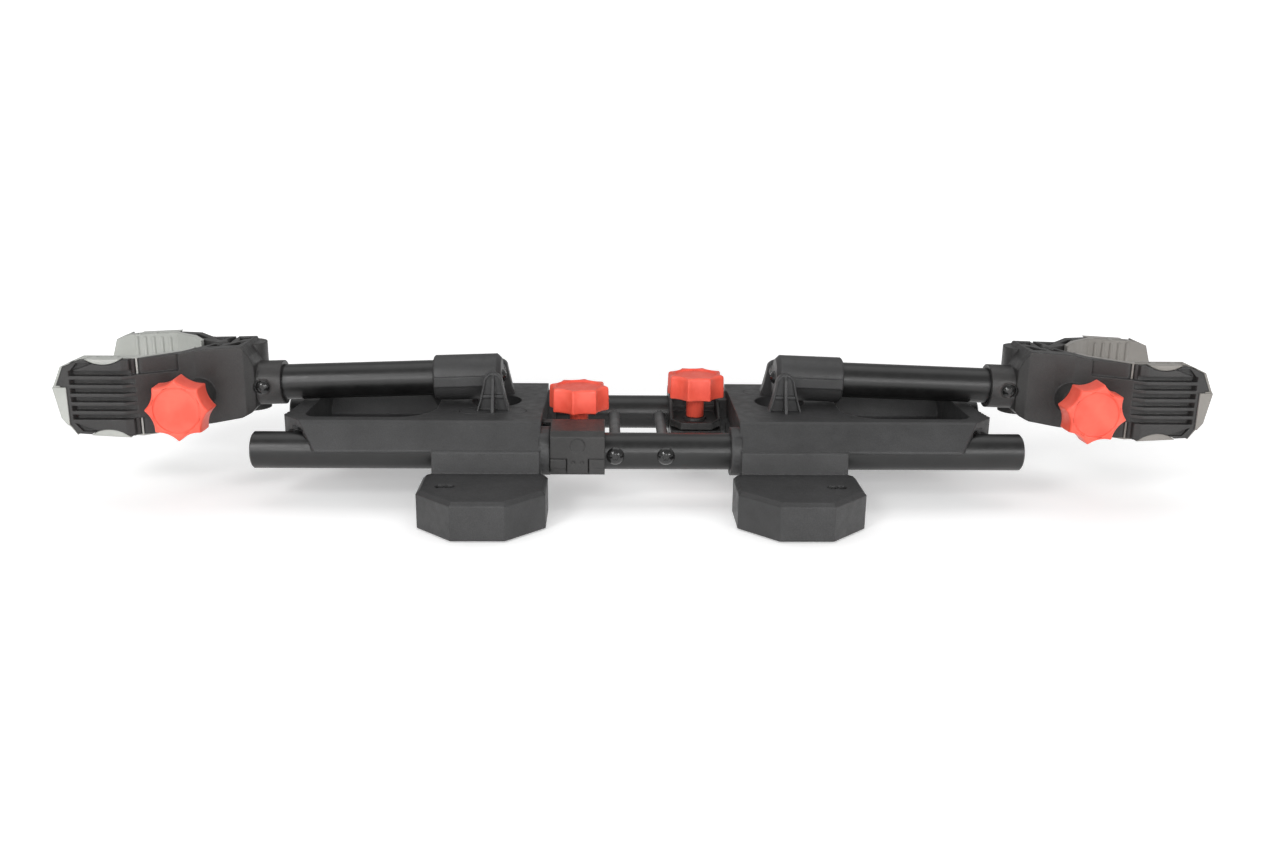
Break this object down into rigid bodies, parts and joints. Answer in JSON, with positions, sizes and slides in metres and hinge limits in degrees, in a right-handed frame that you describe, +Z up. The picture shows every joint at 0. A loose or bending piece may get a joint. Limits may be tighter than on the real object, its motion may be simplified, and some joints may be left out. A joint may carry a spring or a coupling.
{
  "type": "folding twin arm work cradle",
  "caption": "Bench-top work cradle: two folding arms with padded screw-adjusted jaws on sliding bases that clamp to a pair of tube rails.",
  "frame": {"origin": "on the bench surface, midway between the rails and midway between the two bases", "axes": "+X along the rails to the right, +Y to the back, +Z up"},
  "size_m": [0.7848, 0.2648, 0.1004],
  "materials": {
    "moulded_plastic": "fine spark-eroded texture, dark grey",
    "powder_coat": "satin black powder coat",
    "black_screw": "gloss black",
    "grey_rod": "satin grey",
    "red_plastic": "satin red",
    "pad_rubber": "light grey soft rubber, matt",
    "black_rubber": "black, matt",
    "zinc_steel": "bright zinc",
    "plug_plastic": "black, slightly glossy"
  },
  "bodies": {
    "rail_frame": {"front_rail": "powder_coat", "rear_rail": "powder_coat", "rail_end_plugs": "plug_plastic", "cross_rods": "grey_rod", "rod_screws": "black_screw"},
    "left_base_unit": {"left_base": "moulded_plastic", "left_ear_insert": "moulded_plastic", "left_pivot_pin": "zinc_steel", "left_foot_pads": "black_rubber", "left_rail_clamp": "moulded_plastic"},
    "left_clamp_lower": {"left_clamp_jaw": "moulded_plastic", "left_clamp_nut": "zinc_steel"},
    "left_clamp_screw": {"left_clamp_stud": "zinc_steel", "left_clamp_knob": "red_plastic"},
    "left_arm": {"left_sleeve": "moulded_plastic", "left_sleeve_bolt": "black_screw", "left_arm_tube": "powder_coat", "left_head": "moulded_plastic", "left_collar_bolt": "black_screw", "left_near_pad": "pad_rubber", "left_jaw_pin": "zinc_steel"},
    "left_jaw": {"left_far_jaw": "moulded_plastic", "left_far_pad": "pad_rubber", "left_jaw_nut": "zinc_steel"},
    "left_jaw_screw": {"left_jaw_stud": "zinc_steel", "left_jaw_washer": "zinc_steel", "left_jaw_knob": "red_plastic"},
    "right_base_unit": {"right_base": "moulded_plastic", "right_ear_insert": "moulded_plastic", "right_pivot_pin": "zinc_steel", "right_foot_pads": "black_rubber", "right_rail_clamp": "moulded_plastic"},
    "right_clamp_lower": {"right_clamp_jaw": "moulded_plastic", "right_clamp_nut": "zinc_steel"},
    "right_clamp_screw": {"right_clamp_stud": "zinc_steel", "right_clamp_knob": "red_plastic"},
    "right_arm": {"right_sleeve": "moulded_plastic", "right_sleeve_bolt": "black_screw", "right_arm_tube": "powder_coat", "right_head": "moulded_plastic", "right_collar_bolt": "black_screw", "right_near_pad": "pad_rubber", "right_jaw_pin": "zinc_steel"},
    "right_jaw": {"right_far_jaw": "moulded_plastic", "right_far_pad": "pad_rubber", "right_jaw_nut": "zinc_steel"},
    "right_jaw_screw": {"right_jaw_stud": "zinc_steel", "right_jaw_washer": "zinc_steel", "right_jaw_knob": "red_plastic"}
  },
  "joints": [
    {"name": "left_base_slide", "type": "slide", "parent": "rail_frame", "child": "left_base_unit", "axis": [-1, 0, 0], "range_m": [0, 0.11]},
    {"name": "left_clamp_open", "type": "hinge", "parent": "left_base_unit", "child": "left_clamp_lower", "pos_m": [-0.04225, -0.0675, 0.035], "axis": [-1, 0, 0], "range_deg": [0, 4]},
    {"name": "left_clamp_turn", "type": "hinge", "parent": "left_base_unit", "child": "left_clamp_screw", "pos_m": [-0.04225, -0.0194, 0.0403], "axis": [0, 0, 1], "range_deg": [0, 960]},
    {"name": "left_arm_fold", "type": "hinge", "parent": "left_base_unit", "child": "left_arm", "pos_m": [-0.1015, 0, 0.0762], "axis": [0, 1, 0], "range_deg": [0, 92]},
    {"name": "left_jaw_close", "type": "hinge", "parent": "left_arm", "child": "left_jaw", "pos_m": [-0.2784, 0.0115, 0.07041], "axis": [0, 0, 1], "range_deg": [0, 10]},
    {"name": "left_jaw_turn", "type": "hinge", "parent": "left_arm", "child": "left_jaw_screw", "pos_m": [-0.3034, -0.04, 0.06791], "axis": [0, 1, 0], "range_deg": [0, 1200]},
    {"name": "right_base_slide", "type": "slide", "parent": "rail_frame", "child": "right_base_unit", "axis": [1, 0, 0], "range_m": [0, 0.11]},
    {"name": "right_clamp_open", "type": "hinge", "parent": "right_base_unit", "child": "right_clamp_lower", "pos_m": [0.04225, 0.0675, 0.035], "axis": [1, 0, 0], "range_deg": [0, 4]},
    {"name": "right_clamp_turn", "type": "hinge", "parent": "right_base_unit", "child": "right_clamp_screw", "pos_m": [0.04225, 0.0194, 0.0403], "axis": [0, 0, 1], "range_deg": [0, 960]},
    {"name": "right_arm_fold", "type": "hinge", "parent": "right_base_unit", "child": "right_arm", "pos_m": [0.1015, 0, 0.0762], "axis": [0, -1, 0], "range_deg": [0, 92]},
    {"name": "right_jaw_close", "type": "hinge", "parent": "right_arm", "child": "right_jaw", "pos_m": [0.2784, 0.0115, 0.07041], "axis": [0, 0, -1], "range_deg": [0, 10]},
    {"name": "right_jaw_turn", "type": "hinge", "parent": "right_arm", "child": "right_jaw_screw", "pos_m": [0.3034, -0.04, 0.06791], "axis": [0, 1, 0], "range_deg": [0, 1200]}
  ],
  "couplings": [
    {"joint": "left_clamp_open", "follows": "left_clamp_turn", "ratio": 0.0041667},
    {"joint": "left_jaw_close", "follows": "left_jaw_turn", "ratio": 0.0083333},
    {"joint": "right_clamp_open", "follows": "right_clamp_turn", "ratio": 0.0041667},
    {"joint": "right_jaw_close", "follows": "right_jaw_turn", "ratio": 0.0083333}
  ]
}
